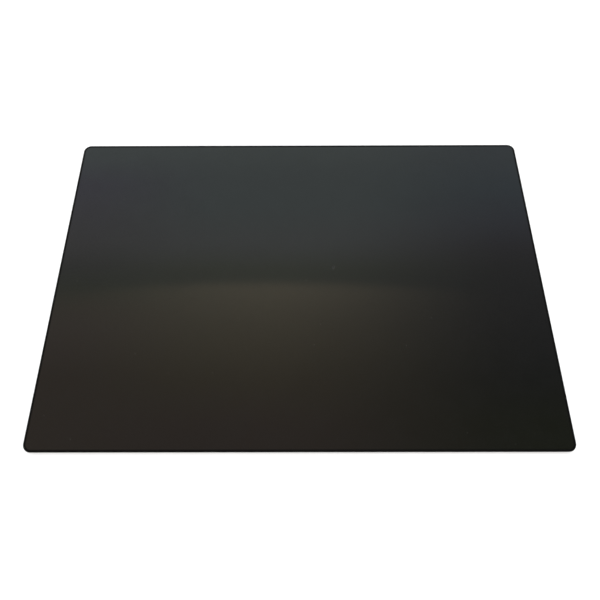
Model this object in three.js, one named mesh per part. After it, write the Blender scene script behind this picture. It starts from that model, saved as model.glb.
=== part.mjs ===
// A self-healing cutting mat for leatherwork. Five black sheets of soft PVC are fused
// face to face under heat, then die-cut together to a rectangle with rounded corners.
// Millimetres, +Z up. The mat lies flat on z = 0 and is centred on the Z axis, with its
// length along X and its width along Y.

import * as THREE from "three";

// Driving dimensions

const matLength = 450;
const matWidth = 300;
const cornerRadius = 7;

const cuttingSheetThickness = 0.75;
const innerSheetThickness = 0.5;

// Each quarter-circle corner is cut as twice this many straight facets.
const cornerDivisions = 10;

// The kinds of sheet. The outer sheets are soft and satin, so that a blade's cut closes
// up again. The backing sheets are harder and stop the blade. The core keeps the mat flat.

const cuttingSheet = { thickness: cuttingSheetThickness, color: 0x2e2f2e, roughness: 0.42 };
const backingSheet = { thickness: innerSheetThickness, color: 0x1c1c1d, roughness: 0.7 };
const coreSheet = { thickness: innerSheetThickness, color: 0x232322, roughness: 0.75 };

// The stack, from the bench up. It is the same from either side, so the mat can be turned over.

const stack = [
  ["lower_cutting_sheet", cuttingSheet],
  ["lower_backing_sheet", backingSheet],
  ["core_sheet", coreSheet],
  ["upper_backing_sheet", backingSheet],
  ["upper_cutting_sheet", cuttingSheet],
];

// The die's outline: a rectangle centred on the origin, with a quarter circle at each
// corner. The arcs run counter-clockwise, and each joins the last with a straight side.
function dieOutline(length, width, radius) {
  const centreX = length / 2 - radius;
  const centreY = width / 2 - radius;
  const quarterTurn = Math.PI / 2;
  const outline = new THREE.Shape();
  outline.absarc(centreX, -centreY, radius, -quarterTurn, 0, false);
  outline.absarc(centreX, centreY, radius, 0, quarterTurn, false);
  outline.absarc(-centreX, centreY, radius, quarterTurn, 2 * quarterTurn, false);
  outline.absarc(-centreX, -centreY, radius, 2 * quarterTurn, 3 * quarterTurn, false);
  outline.closePath();
  return outline;
}

// One sheet: the die's outline, raised to the sheet's thickness.
function makeSheet(name, kind) {
  const geometry = new THREE.ExtrudeGeometry(dieOutline(matLength, matWidth, cornerRadius), {
    depth: kind.thickness,
    bevelEnabled: false,
    curveSegments: cornerDivisions,
  });
  const material = new THREE.MeshStandardMaterial({
    color: kind.color,
    roughness: kind.roughness,
    metalness: 0,
  });
  const sheet = new THREE.Mesh(geometry, material);
  sheet.name = name;
  return sheet;
}

// The mat: each sheet lies on the one below it, with no gap.

const group = new THREE.Group();
let topOfStack = 0;

for (const [name, kind] of stack) {
  const sheet = makeSheet(name, kind);
  sheet.position.z = topOfStack;
  topOfStack += kind.thickness;
  group.add(sheet);
}

export default group;
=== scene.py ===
import math

import bmesh
import bpy
import numpy as np
from mathutils import Matrix, Vector


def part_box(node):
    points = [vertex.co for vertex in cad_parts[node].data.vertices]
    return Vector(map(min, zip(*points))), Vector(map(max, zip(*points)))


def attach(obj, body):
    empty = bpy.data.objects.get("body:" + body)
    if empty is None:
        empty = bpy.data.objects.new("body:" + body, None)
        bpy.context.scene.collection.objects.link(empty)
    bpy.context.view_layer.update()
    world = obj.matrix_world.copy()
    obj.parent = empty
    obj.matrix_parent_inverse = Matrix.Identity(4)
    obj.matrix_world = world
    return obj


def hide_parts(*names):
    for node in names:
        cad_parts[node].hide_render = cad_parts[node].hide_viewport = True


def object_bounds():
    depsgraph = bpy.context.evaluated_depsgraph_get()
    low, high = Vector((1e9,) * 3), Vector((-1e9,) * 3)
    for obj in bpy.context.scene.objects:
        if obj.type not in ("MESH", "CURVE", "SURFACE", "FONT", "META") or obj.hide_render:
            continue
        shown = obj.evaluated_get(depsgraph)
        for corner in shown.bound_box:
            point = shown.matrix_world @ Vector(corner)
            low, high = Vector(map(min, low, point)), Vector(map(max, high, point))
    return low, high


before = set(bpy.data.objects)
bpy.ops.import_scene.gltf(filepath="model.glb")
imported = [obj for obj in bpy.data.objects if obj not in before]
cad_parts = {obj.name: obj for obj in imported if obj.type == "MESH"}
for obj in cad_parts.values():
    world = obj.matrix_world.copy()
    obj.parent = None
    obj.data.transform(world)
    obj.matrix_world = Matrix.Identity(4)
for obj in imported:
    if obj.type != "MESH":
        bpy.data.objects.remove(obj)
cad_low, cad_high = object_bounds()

# A black self-healing cutting mat: five sheets of PVC fused face to face and die-cut as one.
# Everything is in metres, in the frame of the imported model.

MM = 0.001

# The die's outline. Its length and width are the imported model's own.

HALF_LENGTH = cad_high.x
HALF_WIDTH = cad_high.y
CORNER_RADIUS = 7 * MM

# How the die leaves an edge: width inwards and depth downwards of each rounding.

DIE_ROLL = (0.9 * MM, 0.34 * MM)
DIE_BREAK = (0.4 * MM, 0.18 * MM)
SHEET_SEAM = (0.05 * MM, 0.05 * MM)

# The hard inner sheets shear a hair short of the soft outer ones.

BACKING_RECESS = 0.04 * MM
CORE_RECESS = 0.02 * MM

# The satin skin's long, low waves: wavelength, direction in degrees, height.

SKIN_WAVES = (
    (310 * MM, 24, 0.050 * MM),
    (170 * MM, 81, 0.022 * MM),
    (118 * MM, 143, 0.012 * MM),
    (47 * MM, 38, 0.0016 * MM),
    (36 * MM, 112, 0.0012 * MM),
)

# A short knife nick that has not quite closed. The skin is stretched pale down to its reach.

NICK_PLACE = (32.3 * MM, 11.0 * MM)
NICK_DIRECTION = math.radians(62)
NICK_LENGTH = 4.6 * MM
NICK_WIDTH = 0.34 * MM
NICK_DEPTH = 0.12 * MM
NICK_LIP = 0.05 * MM
NICK_REACH_DOWN = 0.3 * MM

# The fine grid round the nick: its reach from the nick's middle along the mat's width, and
# the share of that which it needs along the length, because the nick is steep.

NICK_REACH = NICK_LENGTH / 2 + 3 * NICK_WIDTH
NICK_REACH_ALONG = 0.7

# Grid cells of a waved face, of a flat one, and round the nick.

WAVED_CELL = 3 * MM
FLAT_CELL = 12 * MM
NICK_CELL = 0.12 * MM

# Steps round a corner, across the flat rim of a face, and round an edge's rounding.

CORNER_STEPS = 16
RIM_STEPS = 5
ROUNDING_STEPS = 8

# Points closer than this are one point. Faces that meet at more than this many degrees meet
# at a sharp edge.

WELD_DISTANCE = 0.0001 * MM
SHARP_ANGLE = 50


# ---------------------------------------------------------------- shapes


def wave_dip(x, y):
    """How far the skin lies below its highest level.

    For each wave, height * (1 + sin(2 pi * distance along its direction / wavelength)) / 2,
    all added up, so the dip is never negative.
    """
    dip = np.zeros_like(x)
    for wavelength, direction, height in SKIN_WAVES:
        along = x * math.cos(math.radians(direction)) + y * math.sin(math.radians(direction))
        dip += height * (1 + np.sin(2 * np.pi * along / wavelength)) / 2
    return dip


def nick_parts(x, y):
    """The nick's groove and its lips, each from 0 to 1.

    With u along the cut and v across it, both measured from its middle, the groove is
    exp(-(v / width)^2) and the lips are exp(-((|v| - 2 width) / width)^2). Both fade to
    nothing at the cut's ends as (1 - (2 u / length)^2)^2.
    """
    east = x - NICK_PLACE[0]
    north = y - NICK_PLACE[1]
    u = east * math.cos(NICK_DIRECTION) + north * math.sin(NICK_DIRECTION)
    v = north * math.cos(NICK_DIRECTION) - east * math.sin(NICK_DIRECTION)
    ends = np.clip(1 - (2 * u / NICK_LENGTH) ** 2, 0, None) ** 2
    groove = np.exp(-((v / NICK_WIDTH) ** 2)) * ends
    lips = np.exp(-(((np.abs(v) - 2 * NICK_WIDTH) / NICK_WIDTH) ** 2)) * ends
    return groove, lips


def work_face_dip(x, y):
    """The upper face: waves + depth * groove - lip * lips, never above the full height."""
    groove, lips = nick_parts(x, y)
    return np.maximum(wave_dip(x, y) + NICK_DEPTH * groove - NICK_LIP * lips, 0)


def underside_dip(x, y):
    """The lower face: the same waves, as a mat that has lain on its other side has them."""
    return wave_dip(-x, y)


def no_dip(x, y):
    """A fused face, which is flat."""
    return np.zeros_like(x)


def grid_lines(half_span, cell):
    """Places of a grid's lines, evenly spaced from -half_span to half_span, a cell apart."""
    return np.linspace(-half_span, half_span, round(2 * half_span / cell) + 1)


def finer_lines(lines, middle, reach):
    """The lines of a waved face, but a nick's cell apart within reach of the middle.

    A wide line closer than a quarter of its cell to a fine one is left out.
    """
    fine = np.linspace(middle - reach, middle + reach, round(2 * reach / NICK_CELL) + 1)
    clear = np.abs(lines - middle) > reach + WAVED_CELL / 4
    return np.sort(np.concatenate([lines[clear], fine]))


def die_path(lines_x, lines_y):
    """The path that an edge profile is carried along: base points and outward normals.

    It runs counter-clockwise round the inner rectangle that the grid's lines fill. Along a
    side the base moves and the normal stays. At a corner the base stays and the normal turns
    through a quarter circle, so base + distance * normal is a rounded rectangle.
    """
    left, right = lines_x[0], lines_x[-1]
    front, back = lines_y[0], lines_y[-1]
    turn = np.linspace(0, np.pi / 2, CORNER_STEPS + 1)[1:-1]
    sides = (
        (lines_x, np.full_like(lines_x, front), -np.pi / 2),
        (np.full_like(lines_y, right), lines_y, 0),
        (lines_x[::-1], np.full_like(lines_x, back), np.pi / 2),
        (np.full_like(lines_y, left), lines_y[::-1], np.pi),
    )
    base_x, base_y, angle = [], [], []
    for x, y, heading in sides:
        base_x += [x, np.full_like(turn, x[-1])]
        base_y += [y, np.full_like(turn, y[-1])]
        angle += [np.full_like(x, heading), heading + turn]
    base = np.stack([np.concatenate(base_x), np.concatenate(base_y)])
    angle = np.concatenate(angle)
    return base, np.stack([np.cos(angle), np.sin(angle)])


def edge_profile(low, high, recess, upper, lower):
    """A sheet's section from its upper inner rectangle, over the edge, to its lower one.

    Returns each point's distance outside the inner rectangle, its level, and its share of
    the upper face's dip, 1 above and 0 below. Each rounding is a quarter ellipse:
    distance = reach - width + width * sin(t), level = face - depth * (1 - cos(t)).
    """
    reach = CORNER_RADIUS - recess
    bend = np.linspace(0, np.pi / 2, ROUNDING_STEPS + 1)
    upper_flat = np.linspace(0, reach - upper[0], RIM_STEPS + 1)[:-1]
    lower_flat = np.linspace(0, reach - lower[0], RIM_STEPS + 1)[:-1]
    upper_bend = reach - upper[0] * (1 - np.sin(bend))
    lower_bend = reach - lower[0] * (1 - np.sin(bend))
    distance = np.concatenate([upper_flat, upper_bend, lower_bend[::-1], lower_flat[::-1]])
    level = np.concatenate(
        [
            np.full_like(upper_flat, high),
            high - upper[1] * (1 - np.cos(bend)),
            low + lower[1] * (1 - np.cos(bend[::-1])),
            np.full_like(lower_flat, low),
        ]
    )
    above = np.arange(distance.size) < distance.size // 2
    return distance, level, above.astype(float)


def grid_faces(rows, columns, first, closed=False):
    """The quads of a rows by columns grid of points, numbered from first, row by row."""
    number = first + np.arange(rows * columns).reshape(rows, columns)
    if closed:
        number = np.concatenate([number, number[:, :1]], axis=1)
    corners = (number[:-1, :-1], number[:-1, 1:], number[1:, 1:], number[1:, :-1])
    return np.stack([corner.ravel() for corner in corners], axis=1)


def face_grid(lines_x, lines_y, level, dip, facing_up):
    """One face's inner rectangle: points (x, y, level -/+ dip(x, y)) on the grid's lines."""
    y, x = np.meshgrid(lines_y, lines_x, indexing="ij")
    z = level - dip(x, y) if facing_up else level + dip(x, y)
    return np.stack([x.ravel(), y.ravel(), z.ravel()], axis=1)


def sheet_mesh(name, low, high, lines, recess, upper, lower, upper_dip, lower_dip):
    """One sheet as a closed mesh: an upper and a lower grid, joined by the carried edge.

    A point of the edge is base + distance * normal across the mat, at
    level - share * upper_dip + (1 - share) * lower_dip. The seams, and the poles where the
    corners' normals fan out from one point, are then welded.
    """
    lines_x, lines_y = lines
    base, normal = die_path(lines_x, lines_y)
    distance, level, share = edge_profile(low, high, recess, upper, lower)
    x = base[0] + distance[:, None] * normal[0]
    y = base[1] + distance[:, None] * normal[1]
    z = level[:, None] - share[:, None] * upper_dip(x, y) + (1 - share[:, None]) * lower_dip(x, y)
    edge = np.stack([x.ravel(), y.ravel(), z.ravel()], axis=1)

    top = face_grid(lines_x, lines_y, high, upper_dip, facing_up=True)
    bottom = face_grid(lines_x, lines_y, low, lower_dip, facing_up=False)
    size = (lines_y.size, lines_x.size)
    points = np.concatenate([top, bottom, edge])
    faces = np.concatenate(
        [
            grid_faces(*size, first=0),
            grid_faces(*size, first=len(top))[:, ::-1],
            grid_faces(*x.shape, first=2 * len(top), closed=True)[:, ::-1],
        ]
    )

    mesh = bpy.data.meshes.new(name)
    mesh.from_pydata(points.tolist(), [], faces.tolist())
    weld(mesh)
    mesh.polygons.foreach_set("use_smooth", np.ones(len(mesh.polygons), bool))
    mesh.set_sharp_from_angle(angle=math.radians(SHARP_ANGLE))
    mark_whitening(mesh, high)
    return mesh


def weld(mesh):
    """Merges points that lie on each other, and drops the faces that this leaves flat."""
    work = bmesh.new()
    work.from_mesh(mesh)
    bmesh.ops.remove_doubles(work, verts=work.verts, dist=WELD_DISTANCE)
    work.to_mesh(mesh)
    work.free()
    mesh.validate()


def mark_whitening(mesh, high):
    """Stores how far the skin is stretched pale round the nick, as the attribute "whitening".

    It is the greater of the groove and the lips where the nick reaches down to, else 0.
    """
    places = np.empty(3 * len(mesh.vertices))
    mesh.vertices.foreach_get("co", places)
    x, y, z = places.reshape(-1, 3).T
    pale = np.maximum(*nick_parts(x, y)) * (z > high - NICK_REACH_DOWN)
    mesh.attributes.new("whitening", "FLOAT", "POINT").data.foreach_set("value", pale)


# ---------------------------------------------------------------- node helpers

# The Mix node has sockets for each kind of data. These are the ones for colours.

MIX_SHARE = 0
MIX_FIRST = 6
MIX_SECOND = 7
MIX_RESULT = 2


def add(tree, kind, inputs=None, **properties):
    """Adds a node, sets its properties, and links or sets each named input."""
    node = tree.nodes.new(kind)
    for name, value in properties.items():
        setattr(node, name, value)
    for socket, value in (inputs or {}).items():
        if isinstance(value, bpy.types.NodeSocket):
            tree.links.new(value, node.inputs[socket])
        else:
            node.inputs[socket].default_value = value
    return node


def maths(tree, operation, first, second=0.0, third=0.0):
    """One sum, as its output socket."""
    inputs = {0: first, 1: second, 2: third}
    return add(tree, "ShaderNodeMath", inputs, operation=operation).outputs[0]


def fade(tree, value, start, end, low=0.0, high=1.0):
    """Runs smoothly from low, where value is start, to high, where it is end."""
    inputs = {"Value": value, "From Min": start, "From Max": end, "To Min": low, "To Max": high}
    return add(tree, "ShaderNodeMapRange", inputs, interpolation_type="SMOOTHSTEP").outputs[0]


def opaque(colour):
    """A colour with its alpha. A socket stays as it is."""
    return colour if isinstance(colour, bpy.types.NodeSocket) else (*colour, 1)


def blend(tree, share, first, second, way="MIX"):
    """A colour that runs from first, at share 0, to second, at share 1, or adds second."""
    inputs = {MIX_SHARE: share, MIX_FIRST: opaque(first), MIX_SECOND: opaque(second)}
    node = add(tree, "ShaderNodeMix", inputs, data_type="RGBA", blend_type=way)
    return node.outputs[MIX_RESULT]


def ramp(tree, value, stops):
    """A colour that follows value through the stops, each a place from 0 to 1 and a colour."""
    node = add(tree, "ShaderNodeValToRGB", {0: value})
    node.color_ramp.interpolation = "LINEAR"
    elements = node.color_ramp.elements
    while len(elements) < len(stops):
        elements.new(1.0)
    for element, (place, colour) in zip(elements, stops):
        element.position = place
        element.color = opaque(colour)
    return node.outputs[0]


def own_place(tree):
    """The place on the piece itself, in metres."""
    return add(tree, "ShaderNodeTexCoord").outputs["Object"]


def noise(tree, place, scale, detail, roughness=0.5, distortion=0.0):
    """Soft random patches, mostly near a half, with so many of them to the metre as scale."""
    inputs = {
        "Vector": place,
        "Scale": scale,
        "Detail": detail,
        "Roughness": roughness,
        "Distortion": distortion,
    }
    return add(tree, "ShaderNodeTexNoise", inputs).outputs[0]


def new_group(name, inputs, outputs):
    """An empty node group with number sockets, and its input and output nodes."""
    tree = bpy.data.node_groups.new(name, "ShaderNodeTree")
    for label, value in inputs.items():
        socket = tree.interface.new_socket(label, in_out="INPUT", socket_type="NodeSocketFloat")
        socket.default_value = value
    for label in outputs:
        tree.interface.new_socket(label, in_out="OUTPUT", socket_type="NodeSocketFloat")
    return tree, tree.nodes.new("NodeGroupInput").outputs, tree.nodes.new("NodeGroupOutput").inputs


def use(tree, group, inputs=None):
    """Places a group in a material with its own values, and gives its outputs."""
    node = tree.nodes.new("ShaderNodeGroup")
    node.node_tree = group
    for label, value in (inputs or {}).items():
        node.inputs[label].default_value = value
    return node.outputs


# ---------------------------------------------------------------- shared effects

# Where each effect starts to show in its noise, and where it is full.

MOTTLE_SHOWS = (0.3, 0.7)
SMUDGE_SHOWS = (0.48, 0.72)
RUB_SHOWS = (0.62, 0.78)
SHEAR_SHOWS = (0.35, 0.7)

# The rub marks' direction, and how many times as long as wide they are. The shear lines run
# up the edge, so their noise is squeezed less upwards than across, by this share.

RUB_TURN = 0.5
RUB_SLENDERNESS = 22.0
SHEAR_UPRIGHT = 0.12


def die_cut_band():
    """Edge: 1 from the die-cut edge as far in as Start, fading to 0 at Reach in from it.

    The distance in from a rounded rectangle is radius - |max(q, 0)| - min(max(q.x, q.y), 0),
    where q = |place| - (half size - radius).
    """
    inputs = {
        "Half Length": HALF_LENGTH,
        "Half Width": HALF_WIDTH,
        "Radius": CORNER_RADIUS,
        "Start": 0.0,
        "Reach": 1 * MM,
    }
    tree, given, result = new_group("die_cut_band", inputs, ["Edge"])
    place = add(tree, "ShaderNodeSeparateXYZ", {0: own_place(tree)})
    past = []
    for axis, half in (("X", "Half Length"), ("Y", "Half Width")):
        inner = maths(tree, "SUBTRACT", given[half], given["Radius"])
        past.append(maths(tree, "SUBTRACT", maths(tree, "ABSOLUTE", place.outputs[axis]), inner))
    outside = [maths(tree, "MAXIMUM", value, 0.0) for value in past]
    squares = [maths(tree, "MULTIPLY", value, value) for value in outside]
    corner = maths(tree, "SQRT", maths(tree, "ADD", *squares))
    inside = maths(tree, "MINIMUM", maths(tree, "MAXIMUM", *past), 0.0)
    inset = maths(tree, "SUBTRACT", given["Radius"], maths(tree, "ADD", corner, inside))
    tree.links.new(fade(tree, inset, given["Start"], given["Reach"], 1.0, 0.0), result["Edge"])
    return tree


def rolled_skin():
    """Height: the fine pebble that the rollers press in. Mottle: its slow change of shine."""
    inputs = {"Grain Scale": 1400.0, "Mottle Scale": 60.0}
    tree, given, result = new_group("rolled_skin", inputs, ["Height", "Mottle"])
    place = own_place(tree)
    grain = noise(tree, place, given["Grain Scale"], detail=2.0, roughness=0.55)
    mottle = noise(tree, place, given["Mottle Scale"], detail=3.0, roughness=0.6)
    tree.links.new(grain, result["Height"])
    tree.links.new(fade(tree, mottle, *MOTTLE_SHOWS), result["Mottle"])
    return tree


def handling_marks():
    """Smudge: soft patches where hands have rested. Rub: faint straight drag marks."""
    inputs = {"Smudge Scale": 9.0, "Rub Scale": 26.0}
    tree, given, result = new_group("handling_marks", inputs, ["Smudge", "Rub"])
    place = own_place(tree)
    patches = noise(tree, place, given["Smudge Scale"], 4.0, roughness=0.55, distortion=0.6)
    turned = {"Vector": place, "Rotation": (0, 0, RUB_TURN), "Scale": (1.0, RUB_SLENDERNESS, 1.0)}
    drawn_out = add(tree, "ShaderNodeMapping", turned).outputs[0]
    streaks = noise(tree, drawn_out, given["Rub Scale"], detail=2.0)
    tree.links.new(fade(tree, patches, *SMUDGE_SHOWS), result["Smudge"])
    tree.links.new(fade(tree, streaks, *RUB_SHOWS), result["Rub"])
    return tree


def settled_dust():
    """Dust: small pale specks, one in each of a few cells, smaller than the cell."""
    inputs = {"Scale": 160.0, "Speck Size": 0.07, "Share": 0.12}
    tree, given, result = new_group("settled_dust", inputs, ["Dust"])
    cells = add(
        tree, "ShaderNodeTexVoronoi", {"Vector": own_place(tree), "Scale": given["Scale"]}
    )
    pick = add(tree, "ShaderNodeSeparateColor", {0: cells.outputs["Color"]})
    chosen = maths(tree, "LESS_THAN", pick.outputs[0], given["Share"])
    speck = fade(tree, cells.outputs["Distance"], given["Speck Size"], 0.0)
    tree.links.new(maths(tree, "MULTIPLY", chosen, speck), result["Dust"])
    return tree


def shear_marks():
    """Height and Mark: the upright lines that the die leaves down a cut edge."""
    tree, given, result = new_group("shear_marks", {"Scale": 1800.0}, ["Height", "Mark"])
    stretched = {"Vector": own_place(tree), "Scale": (1.0, 1.0, SHEAR_UPRIGHT)}
    upright = add(tree, "ShaderNodeMapping", stretched).outputs[0]
    lines = noise(tree, upright, given["Scale"], detail=3.0, roughness=0.6)
    tree.links.new(lines, result["Height"])
    tree.links.new(fade(tree, lines, *SHEAR_SHOWS), result["Mark"])
    return tree


# ---------------------------------------------------------------- materials

# Colours, from the darkest to the lightest that each finish has.

SATIN_BLACK = ((0.0043, 0.0043, 0.0042), (0.0050, 0.0050, 0.0049))
# The cut edge's colours are painted darker than the skin's: painted shade that gives a dark outline
# round the rim. The shear lines' change of tone between its two colours is real.
CUT_BLACK_AND_PAINTED_SHADE = ((0.0016, 0.0016, 0.0016), (0.0040, 0.0040, 0.0040))
BACKING_BLACK = ((0.004, 0.004, 0.004), (0.009, 0.009, 0.009))
CORE_CHARCOAL = ((0.006, 0.006, 0.006), (0.013, 0.013, 0.013))
STRETCHED_PALE = (0.016, 0.016, 0.015)
FLOOR_PALE = (0.86, 0.87, 0.89)

# Dust, and how much of what lies under a speck it hides.

DUST_COLOUR = (0.12, 0.118, 0.11)
DUST_COVER = 0.5

# The matt band at the die-cut edge, whose colour is also painted darker as a painted shade outline
# round the rim: how far in it is full, and where it ends.

EDGE_BAND = (1.5 * MM, 2.6 * MM)

# The skin's gloss is a coat. Its share of a full coat, and how much of it each effect takes
# away. The fine grain takes as much as it gives back.

SKIN_SHINE = 0.89
SKIN_GRAIN = 0.5
MOTTLE_LOSS = 0.03
SMUDGE_LOSS = 0.04
RUB_LOSS = 0.03
DUST_LOSS = 0.4

# Roughness under the coat, from the least to the most, and what the cut edge adds.

SKIN_ROUGHNESS = (0.50, 0.58)
EDGE_ROUGHNESS = 0.2

# Depths of the fine relief. The shear lines at the edge are some times as deep as the pebble.

PEBBLE_DEPTH = 0.003 * MM
SHEAR_TO_PEBBLE = 4.0
SHEAR_DEPTH = 0.012 * MM

# An inner sheet's roughness runs this much to either side of its own.

ROUGHNESS_SPREAD = 0.05


def new_material(name):
    """An empty material with a Principled shader, and its node tree."""
    material = bpy.data.materials.new(name)
    material.use_nodes = True
    tree = material.node_tree
    return material, tree, tree.nodes["Principled BSDF"]


def dusted(tree, dust, colour):
    """The colour with specks of dust on it."""
    return blend(tree, maths(tree, "MULTIPLY", dust, DUST_COVER), colour, DUST_COLOUR)


def satin_skin(effects):
    """The cutting sheets: a black body under a smooth rolled skin, dull where the die cut it and
    painted darker there, a painted shade outline round the rim.
    """
    material, tree, shader = new_material("satin_black_pvc")
    edge = use(tree, effects["band"], {"Start": EDGE_BAND[0], "Reach": EDGE_BAND[1]})["Edge"]
    skin = use(tree, effects["skin"])
    marks = use(tree, effects["marks"])
    dust = use(tree, effects["dust"])["Dust"]
    cut = use(tree, effects["cut"])
    whitening = add(tree, "ShaderNodeAttribute", attribute_name="whitening").outputs["Fac"]
    face = maths(tree, "SUBTRACT", 1.0, edge)

    # Towards the edge the colour turns to the cut black, which is painted shade: a dark outline
    # round the rim.
    colour = blend(
        tree,
        edge,
        blend(tree, skin["Mottle"], *SATIN_BLACK),
        blend(tree, cut["Mark"], *CUT_BLACK_AND_PAINTED_SHADE),
    )
    colour = blend(tree, whitening, colour, STRETCHED_PALE)
    tree.links.new(dusted(tree, dust, colour), shader.inputs["Base Color"])

    roughness = fade(tree, skin["Mottle"], 0.0, 1.0, *SKIN_ROUGHNESS)
    roughness = maths(tree, "MULTIPLY_ADD", edge, EDGE_ROUGHNESS, roughness)
    tree.links.new(roughness, shader.inputs["Roughness"])

    shine = SKIN_SHINE + SKIN_GRAIN / 2
    losses = (
        (skin["Mottle"], MOTTLE_LOSS),
        (marks["Smudge"], SMUDGE_LOSS),
        (marks["Rub"], RUB_LOSS),
        (skin["Height"], SKIN_GRAIN),
        (dust, DUST_LOSS),
    )
    for effect, loss in losses:
        shine = maths(tree, "MULTIPLY_ADD", effect, -loss, shine)
    tree.links.new(maths(tree, "MULTIPLY", shine, face), shader.inputs["Coat Weight"])

    pebble = maths(tree, "MULTIPLY", skin["Height"], face)
    shear = maths(tree, "MULTIPLY", cut["Height"], edge)
    relief = maths(tree, "MULTIPLY_ADD", shear, SHEAR_TO_PEBBLE, pebble)
    bump = add(tree, "ShaderNodeBump", {"Height": relief, "Distance": PEBBLE_DEPTH})
    tree.links.new(bump.outputs[0], shader.inputs["Normal"])

    shader.inputs["Specular IOR Level"].default_value = 0.1
    shader.inputs["Coat Roughness"].default_value = 0.08
    shader.inputs["Coat IOR"].default_value = 1.54
    return material


def dull_sheet(name, effects, colours, roughness):
    """An inner sheet, seen only as a dull line in the cut edge."""
    material, tree, shader = new_material(name)
    cut = use(tree, effects["cut"], {"Scale": 2300.0})
    mottle = use(tree, effects["skin"])["Mottle"]
    dust = use(tree, effects["dust"])["Dust"]
    colour = blend(tree, cut["Mark"], *colours)
    tree.links.new(dusted(tree, dust, colour), shader.inputs["Base Color"])
    least = roughness - ROUGHNESS_SPREAD
    most = roughness + ROUGHNESS_SPREAD
    tree.links.new(fade(tree, mottle, 0.0, 1.0, least, most), shader.inputs["Roughness"])
    bump = add(tree, "ShaderNodeBump", {"Height": cut["Height"], "Distance": SHEAR_DEPTH})
    tree.links.new(bump.outputs[0], shader.inputs["Normal"])
    shader.inputs["Specular IOR Level"].default_value = 0.2
    return material


def pale_floor():
    """The studio's floor: plain, pale and matt, and clear from below."""
    material, tree, shader = new_material("pale_floor")
    shader.inputs["Base Color"].default_value = opaque(FLOOR_PALE)
    shader.inputs["Roughness"].default_value = 0.9
    shader.inputs["Specular IOR Level"].default_value = 0.0
    clear = add(tree, "ShaderNodeBsdfTransparent")
    below = add(tree, "ShaderNodeNewGeometry").outputs["Backfacing"]
    either = add(tree, "ShaderNodeMixShader", {0: below, 1: shader.outputs[0], 2: clear.outputs[0]})
    tree.links.new(either.outputs[0], tree.nodes["Material Output"].inputs["Surface"])
    return material


# ---------------------------------------------------------------- the mat


def make_sheet(
    node,
    material,
    lines,
    recess=0.0,
    upper=SHEET_SEAM,
    lower=SHEET_SEAM,
    upper_dip=no_dip,
    lower_dip=no_dip,
):
    """Puts a finished sheet in the scene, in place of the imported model's plain one."""
    low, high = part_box(node)
    mesh = sheet_mesh(
        node + "_shape", low[2], high[2], lines, recess, upper, lower, upper_dip, lower_dip
    )
    mesh.materials.append(material)
    piece = bpy.data.objects.new(node + "_finished", mesh)
    bpy.context.scene.collection.objects.link(piece)
    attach(piece, "root")
    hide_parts(node)


def make_mat():
    """The five sheets, from the bench up."""
    effects = {
        "band": die_cut_band(),
        "skin": rolled_skin(),
        "marks": handling_marks(),
        "dust": settled_dust(),
        "cut": shear_marks(),
    }
    satin = satin_skin(effects)
    backing = dull_sheet("dull_black_backing", effects, BACKING_BLACK, roughness=0.7)
    core = dull_sheet("dull_charcoal_core", effects, CORE_CHARCOAL, roughness=0.8)

    half_x = HALF_LENGTH - CORNER_RADIUS
    half_y = HALF_WIDTH - CORNER_RADIUS
    flat = (grid_lines(half_x, FLAT_CELL), grid_lines(half_y, FLAT_CELL))
    waved = (grid_lines(half_x, WAVED_CELL), grid_lines(half_y, WAVED_CELL))
    nicked = (
        finer_lines(waved[0], NICK_PLACE[0], NICK_REACH * NICK_REACH_ALONG),
        finer_lines(waved[1], NICK_PLACE[1], NICK_REACH),
    )

    make_sheet(
        "lower_cutting_sheet", satin, waved,
        lower=DIE_BREAK, lower_dip=underside_dip,
    )
    make_sheet("lower_backing_sheet", backing, flat, recess=BACKING_RECESS)
    make_sheet("core_sheet", core, flat, recess=CORE_RECESS)
    make_sheet("upper_backing_sheet", backing, flat, recess=BACKING_RECESS)
    make_sheet(
        "upper_cutting_sheet", satin, nicked,
        upper=DIE_ROLL, upper_dip=work_face_dip,
    )


# ---------------------------------------------------------------- camera

# The camera's place is in mat lengths from the middle of the mat's underside.

CAMERA_PLACE = (0.0034, -0.2832, 0.7392)
CAMERA_PITCH = math.radians(72.07)
CAMERA_YAW = math.radians(-0.37)
CAMERA_ROLL = math.radians(-0.475)
CAMERA_LENS = 22.79
CAMERA_NEAR = 0.01
SENSOR_WIDTH = 36.0


def make_camera():
    """Looks down on the mat from just inside its front edge."""
    data = bpy.data.cameras.new("camera")
    data.sensor_width = SENSOR_WIDTH
    data.lens = CAMERA_LENS
    data.clip_start = CAMERA_NEAR
    camera = bpy.data.objects.new("camera", data)
    bpy.context.scene.collection.objects.link(camera)

    level = math.cos(CAMERA_PITCH)
    forward = Vector(
        (math.sin(CAMERA_YAW) * level, math.cos(CAMERA_YAW) * level, -math.sin(CAMERA_PITCH))
    )
    right = Vector((math.cos(CAMERA_YAW), -math.sin(CAMERA_YAW), 0))
    up = right.cross(forward)
    rolled_right = right * math.cos(CAMERA_ROLL) + up * math.sin(CAMERA_ROLL)
    rolled_up = up * math.cos(CAMERA_ROLL) - right * math.sin(CAMERA_ROLL)
    turn = Matrix((rolled_right, rolled_up, -forward)).transposed().to_4x4()
    place = Vector(CAMERA_PLACE) * 2 * HALF_LENGTH
    camera.matrix_world = Matrix.Translation(place) @ turn
    bpy.context.scene.camera = camera


# ---------------------------------------------------------------- room and floor

# The ceiling's colour on the left, in the middle and on the right. Each stop is a distance
# ahead, in ceiling heights, and the colour there.

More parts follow.
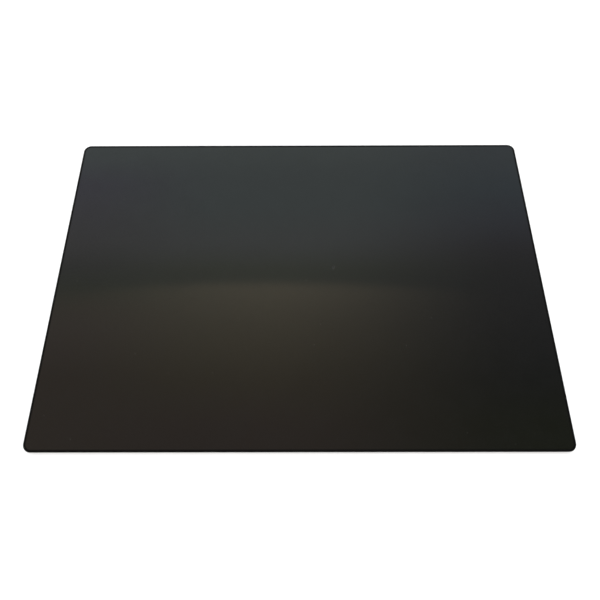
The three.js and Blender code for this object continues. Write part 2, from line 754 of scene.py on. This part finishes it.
CEILING_LEFT = (
    (0.00, (0.35, 0.27, 0.21)),
    (0.12, (0.35, 0.27, 0.21)),
    (0.25, (0.49, 0.40, 0.34)),
    (0.30, (0.48, 0.42, 0.33)),
    (0.36, (0.37, 0.41, 0.31)),
    (0.42, (0.41, 0.42, 0.40)),
    (0.50, (0.60, 0.59, 0.61)),
    (0.60, (0.63, 0.62, 0.70)),
    (0.70, (0.63, 0.62, 0.79)),
    (0.80, (0.70, 0.82, 0.83)),
)
CEILING_MIDDLE = (
    (0.00, (0.27, 0.20, 0.17)),
    (0.10, (0.29, 0.25, 0.16)),
    (0.20, (0.38, 0.36, 0.25)),
    (0.30, (0.43, 0.45, 0.35)),
    (0.38, (0.48, 0.54, 0.44)),
    (0.42, (0.58, 0.63, 0.49)),
    (0.46, (0.69, 0.74, 0.69)),
    (0.50, (0.75, 0.80, 0.80)),
    (0.62, (0.69, 0.82, 0.83)),
    (0.75, (0.69, 0.81, 0.82)),
    (0.80, (0.76, 0.89, 0.88)),
)
CEILING_RIGHT = (
    (0.00, (0.06, 0.08, 0.02)),
    (0.10, (0.06, 0.07, 0.06)),
    (0.25, (0.13, 0.13, 0.14)),
    (0.42, (0.22, 0.22, 0.23)),
    (0.48, (0.28, 0.27, 0.31)),
    (0.56, (0.38, 0.41, 0.51)),
    (0.68, (0.43, 0.54, 0.63)),
    (0.80, (0.52, 0.61, 0.67)),
)

# Distances across, from the middle, where the ceiling starts to turn to each side's colour
# and where it has turned. To the right the start depends on the distance ahead: it moves
# from the first place to the second between those two distances.

LEFT_TURN = (-0.20, -0.70)
RIGHT_START = (-0.15, 0.08)
RIGHT_START_AHEAD = (0.30, 0.62)
RIGHT_END = 0.67

# A warm lamp's glow on the ceiling, short of a line: the lamp's place across, the line's
# distance ahead and how it bends towards the mat, how sharply the glow sets in at the line,
# how it falls off from there and to the sides, and its colour.

GLOW_ACROSS = -0.09
GLOW_LINE = 0.377
GLOW_BEND = 0.09
GLOW_ONSET = (-0.010, 0.016)
GLOW_FALL = 5.5
GLOW_WIDTH = 6.0
GLOW_COLOUR = (0.73, 0.54, 0.34)

# Low down, below these slopes of a ray, the room is an even grey. No ray counts as flatter
# than the least slope.

LOW_TURN = (0.62, 0.25)
LOW_GREY = (0.36, 0.36, 0.37)
LEAST_SLOPE = 0.1

# The floor's reach from the middle, how far the mat laps over it, and its gap to the mat.

FLOOR_REACH = 1.4
FLOOR_LAP = 3 * MM
FLOOR_GAP = 0.02 * MM

# The soft lamp's side, height and power in watts.

LAMP_SIZE = 7.0
LAMP_HEIGHT = 2.5
LAMP_POWER = 230.0


def room_ceiling(tree, across, ahead):
    """The ceiling's colour: pale and cool far ahead, dimmer overhead, darker to the right."""
    middle = ramp(tree, ahead, CEILING_MIDDLE)
    far_left = ramp(tree, ahead, CEILING_LEFT)
    far_right = ramp(tree, ahead, CEILING_RIGHT)
    right_start = fade(tree, ahead, *RIGHT_START_AHEAD, *RIGHT_START)
    ceiling = blend(tree, fade(tree, across, *LEFT_TURN), middle, far_left)
    return blend(tree, fade(tree, across, right_start, RIGHT_END), ceiling, far_right)


def lamp_glow(tree, across, ahead):
    """How strongly the lamp lights the ceiling, from 0 to 1.

    It is onset * exp(-fall * d) * exp(-width * s * (1 + s)), where s is the squared distance
    to either side of the lamp, and d the distance short of the line ahead = line - bend * s.
    """
    off_lamp = maths(tree, "SUBTRACT", across, GLOW_ACROSS)
    spread = maths(tree, "MULTIPLY", off_lamp, off_lamp)
    line = maths(tree, "MULTIPLY_ADD", spread, -GLOW_BEND, GLOW_LINE)
    short_of_line = maths(tree, "SUBTRACT", line, ahead)
    onset = fade(tree, short_of_line, *GLOW_ONSET)
    fall = maths(tree, "EXPONENT", maths(tree, "MULTIPLY", short_of_line, -GLOW_FALL))
    sideways = maths(tree, "MULTIPLY_ADD", spread, spread, spread)
    width = maths(tree, "EXPONENT", maths(tree, "MULTIPLY", sideways, -GLOW_WIDTH))
    return maths(tree, "MULTIPLY", maths(tree, "MULTIPLY", onset, fall), width)


def make_room():
    """The light round the mat, as a wide soft ceiling with an even grey below it.

    A direction (x, y, z) meets the ceiling at across = x / z, ahead = y / z. The camera sees
    plain white.
    """
    world = bpy.data.worlds.new("studio")
    bpy.context.scene.world = world
    world.use_nodes = True
    tree = world.node_tree
    direction = add(tree, "ShaderNodeTexCoord").outputs["Generated"]
    way = add(tree, "ShaderNodeSeparateXYZ", {0: direction})
    slope = maths(tree, "MAXIMUM", way.outputs["Z"], LEAST_SLOPE)
    across = maths(tree, "DIVIDE", way.outputs["X"], slope)
    ahead = maths(tree, "DIVIDE", way.outputs["Y"], slope)

    ceiling = room_ceiling(tree, across, ahead)
    lit = blend(tree, lamp_glow(tree, across, ahead), ceiling, GLOW_COLOUR, way="ADD")
    room = blend(tree, fade(tree, way.outputs["Z"], *LOW_TURN), lit, LOW_GREY)
    seen = add(tree, "ShaderNodeLightPath").outputs["Is Camera Ray"]
    everything = blend(tree, seen, room, (1, 1, 1))
    tree.links.new(everything, tree.nodes["Background"].inputs["Color"])


def make_floor():
    """A wide pale floor, a hair below the mat, with an opening that the mat covers.

    It is a square with a smaller rectangle left out of its middle. Through that opening the
    mat's underside gets the room's light when it is looked at from below.
    """
    inner_x = HALF_LENGTH - FLOOR_LAP
    inner_y = HALF_WIDTH - FLOOR_LAP
    side_x = np.array([-1, 1, 1, -1])
    side_y = np.array([-1, -1, 1, 1])
    x = np.concatenate([side_x * FLOOR_REACH, side_x * inner_x])
    y = np.concatenate([side_y * FLOOR_REACH, side_y * inner_y])
    points = np.stack([x, y, np.full_like(x, -FLOOR_GAP)], axis=1)
    corner = np.arange(side_x.size)
    after = (corner + 1) % side_x.size
    faces = np.stack([corner, after, after + side_x.size, corner + side_x.size], axis=1)
    mesh = bpy.data.meshes.new("floor")
    mesh.from_pydata(points.tolist(), [], faces.tolist())
    mesh.materials.append(pale_floor())
    floor = bpy.data.objects.new("floor", mesh)
    bpy.context.scene.collection.objects.link(floor)


def make_fill():
    """A broad soft lamp overhead, which lights the floor and leaves no highlight."""
    data = bpy.data.lights.new("soft_fill", "AREA")
    data.shape = "SQUARE"
    data.size = LAMP_SIZE
    data.energy = LAMP_POWER
    fill = bpy.data.objects.new("soft_fill", data)
    fill.location = (0, 0, LAMP_HEIGHT)
    fill.visible_glossy = False
    bpy.context.scene.collection.objects.link(fill)


make_camera()
make_mat()
make_room()
make_floor()
make_fill()
bpy.context.scene.view_settings.view_transform = "Standard"
